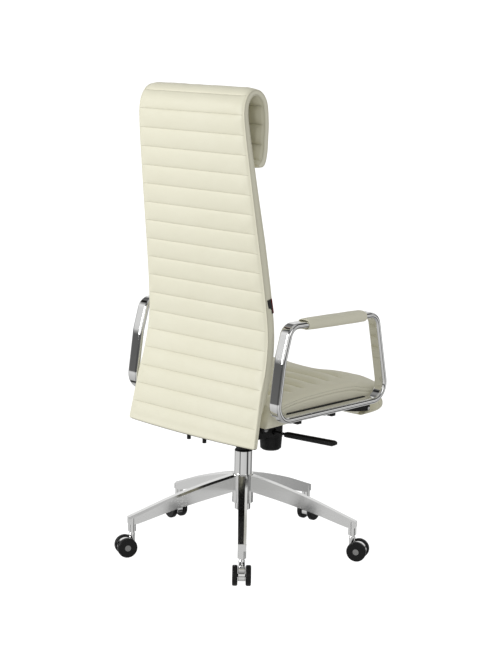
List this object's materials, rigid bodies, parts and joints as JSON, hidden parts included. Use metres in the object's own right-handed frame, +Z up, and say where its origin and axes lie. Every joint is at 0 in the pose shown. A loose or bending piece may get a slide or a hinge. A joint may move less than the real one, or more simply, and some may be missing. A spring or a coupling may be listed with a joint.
{
  "type": "swivel office chair",
  "caption": "High-back swivel office chair with channelled leather upholstery, rolled headrest, chrome loop arms, tilt mechanism, gas lift and a cast five-leg base on twin-wheel casters.",
  "frame": {"origin": "on the floor, on the axis of the swivel column", "axes": "+Z up, the sitter faces -Y, the sitter's right is -X"},
  "size_m": [0.699, 0.6951, 1.29],
  "materials": {
    "cast_aluminium": "polished",
    "chrome_steel": "mirror polished",
    "black_plastic": "fine satin grain",
    "bright_steel": "zinc plated",
    "black_steel": "black powder coat",
    "black_rubber": "matt",
    "plywood": "raw",
    "cream_leather": "smooth, soft grain",
    "black_cloth": "plain weave",
    "grey_plastic": "semi-gloss",
    "wheel_plastic": "smooth"
  },
  "bodies": {
    "base": {"star_base": "cast_aluminium", "column_tube": "chrome_steel", "guide_bush": "black_plastic"},
    "swivel_rod": {"piston_rod": "bright_steel", "thrust_bearing": "bright_steel", "retaining_clip": "bright_steel"},
    "chassis": {"gas_spring": "black_steel", "mechanism_housing": "black_steel", "tilt_pins": "bright_steel", "tension_screw": "bright_steel", "tension_spring": "bright_steel"},
    "valve": {"valve_button": "black_plastic"},
    "knob": {"tension_knob": "black_plastic"},
    "lever_arm": {"lever_arm": "black_steel"},
    "lever": {"lever_rod": "black_steel", "lever_grip": "black_plastic"},
    "seat_unit": {"seat_plate": "black_steel", "plate_bolts": "bright_steel", "back_bars": "black_steel", "dust_cover": "black_cloth", "seat_pan": "plywood", "seat_cushion": "cream_leather", "back_core": "plywood", "back_rear_pad": "cream_leather", "back_front_pad": "cream_leather", "headrest_core": "plywood", "headrest_roll": "cream_leather", "back_glides": "black_rubber", "side_tag": "black_cloth", "arm_tube_right": "chrome_steel", "arm_tube_left": "chrome_steel", "arm_pad_right": "cream_leather", "arm_pad_left": "cream_leather", "arm_bracket_right": "black_steel", "arm_bracket_left": "black_steel", "bracket_bolts_right": "bright_steel", "bracket_bolts_left": "bright_steel"},
    "caster_1": {"caster_body_1": "chrome_steel", "caster_axle_1": "grey_plastic"},
    "wheel_1_a": {"caster_wheel_1_a": "wheel_plastic"},
    "wheel_1_b": {"caster_wheel_1_b": "wheel_plastic"},
    "caster_2": {"caster_body_2": "chrome_steel", "caster_axle_2": "grey_plastic"},
    "wheel_2_a": {"caster_wheel_2_a": "wheel_plastic"},
    "wheel_2_b": {"caster_wheel_2_b": "wheel_plastic"},
    "caster_3": {"caster_body_3": "chrome_steel", "caster_axle_3": "grey_plastic"},
    "wheel_3_a": {"caster_wheel_3_a": "wheel_plastic"},
    "wheel_3_b": {"caster_wheel_3_b": "wheel_plastic"},
    "caster_4": {"caster_body_4": "chrome_steel", "caster_axle_4": "grey_plastic"},
    "wheel_4_a": {"caster_wheel_4_a": "wheel_plastic"},
    "wheel_4_b": {"caster_wheel_4_b": "wheel_plastic"},
    "caster_5": {"caster_body_5": "chrome_steel", "caster_axle_5": "grey_plastic"},
    "wheel_5_a": {"caster_wheel_5_a": "wheel_plastic"},
    "wheel_5_b": {"caster_wheel_5_b": "wheel_plastic"}
  },
  "joints": [
    {"name": "seat_swivel", "type": "hinge", "parent": "base", "child": "swivel_rod", "pos_m": [0, 0, 0.12], "axis": [0, 0, 1], "continuous": true},
    {"name": "seat_height", "type": "slide", "parent": "swivel_rod", "child": "chassis", "axis": [0, 0, 1], "range_m": [0, 0.1]},
    {"name": "back_tilt", "type": "hinge", "parent": "chassis", "child": "seat_unit", "pos_m": [0, -0.03, 0.345], "axis": [-1, 0, 0], "range_deg": [0, 15], "stiffness_Nm_per_rad": 180, "springref_deg": -17.19},
    {"name": "tension_turn", "type": "hinge", "parent": "chassis", "child": "knob", "pos_m": [0, -0.111, 0.281], "axis": [0, 0, 1], "range_deg": [-360, 360]},
    {"name": "lever_lift", "type": "hinge", "parent": "chassis", "child": "lever_arm", "pos_m": [-0.05, -0.07, 0.3295], "axis": [0, 1, 0], "range_deg": [0, 6], "stiffness_Nm_per_rad": 6, "springref_deg": -4.58},
    {"name": "lever_pull", "type": "slide", "parent": "lever_arm", "child": "lever", "axis": [-1, 0, 0], "range_m": [0, 0.015]},
    {"name": "valve_press", "type": "slide", "parent": "chassis", "child": "valve", "axis": [0, 0, -1], "range_m": [0, 0.0055]},
    {"name": "caster_swivel_1", "type": "hinge", "parent": "base", "child": "caster_1", "pos_m": [-0.22194, 0.22983, 0.07], "axis": [0, 0, 1], "continuous": true},
    {"name": "wheel_roll_1_a", "type": "hinge", "parent": "caster_1", "child": "wheel_1_a", "pos_m": [-0.23375, 0.24206, 0.0275], "axis": [-0.7193, -0.6947, 0], "continuous": true},
    {"name": "wheel_roll_1_b", "type": "hinge", "parent": "caster_1", "child": "wheel_1_b", "pos_m": [-0.23375, 0.24206, 0.0275], "axis": [-0.7193, -0.6947, 0], "continuous": true},
    {"name": "caster_swivel_2", "type": "hinge", "parent": "base", "child": "caster_2", "pos_m": [-0.28717, -0.14006, 0.07], "axis": [0, 0, 1], "continuous": true},
    {"name": "wheel_roll_2_a", "type": "hinge", "parent": "caster_2", "child": "wheel_2_a", "pos_m": [-0.30244, -0.14751, 0.0275], "axis": [0.4384, -0.8988, 0], "continuous": true},
    {"name": "wheel_roll_2_b", "type": "hinge", "parent": "caster_2", "child": "wheel_2_b", "pos_m": [-0.30244, -0.14751, 0.0275], "axis": [0.4384, -0.8988, 0], "continuous": true},
    {"name": "caster_swivel_3", "type": "hinge", "parent": "base", "child": "caster_3", "pos_m": [0.04447, -0.31639, 0.07], "axis": [0, 0, 1], "continuous": true},
    {"name": "wheel_roll_3_a", "type": "hinge", "parent": "caster_3", "child": "wheel_3_a", "pos_m": [0.04683, -0.33322, 0.0275], "axis": [0.9903, 0.1392, 0], "continuous": true},
    {"name": "wheel_roll_3_b", "type": "hinge", "parent": "caster_3", "child": "wheel_3_b", "pos_m": [0.04683, -0.33322, 0.0275], "axis": [0.9903, 0.1392, 0], "continuous": true},
    {"name": "caster_swivel_4", "type": "hinge", "parent": "base", "child": "caster_4", "pos_m": [0.31465, -0.05548, 0.07], "axis": [0, 0, 1], "continuous": true},
    {"name": "wheel_roll_4_a", "type": "hinge", "parent": "caster_4", "child": "wheel_4_a", "pos_m": [0.33139, -0.05843, 0.0275], "axis": [0.1736, 0.9848, 0], "continuous": true},
    {"name": "wheel_roll_4_b", "type": "hinge", "parent": "caster_4", "child": "wheel_4_b", "pos_m": [0.33139, -0.05843, 0.0275], "axis": [0.1736, 0.9848, 0], "continuous": true},
    {"name": "caster_swivel_5", "type": "hinge", "parent": "base", "child": "caster_5", "pos_m": [0.15, 0.2821, 0.07], "axis": [0, 0, 1], "continuous": true},
    {"name": "wheel_roll_5_a", "type": "hinge", "parent": "caster_5", "child": "wheel_5_a", "pos_m": [0.15798, 0.29711, 0.0275], "axis": [-0.8829, 0.4695, 0], "continuous": true},
    {"name": "wheel_roll_5_b", "type": "hinge", "parent": "caster_5", "child": "wheel_5_b", "pos_m": [0.15798, 0.29711, 0.0275], "axis": [-0.8829, 0.4695, 0], "continuous": true}
  ],
  "couplings": [
    {"joint": "valve_press", "follows": "lever_lift", "m_per_rad": 0.05}
  ]
}
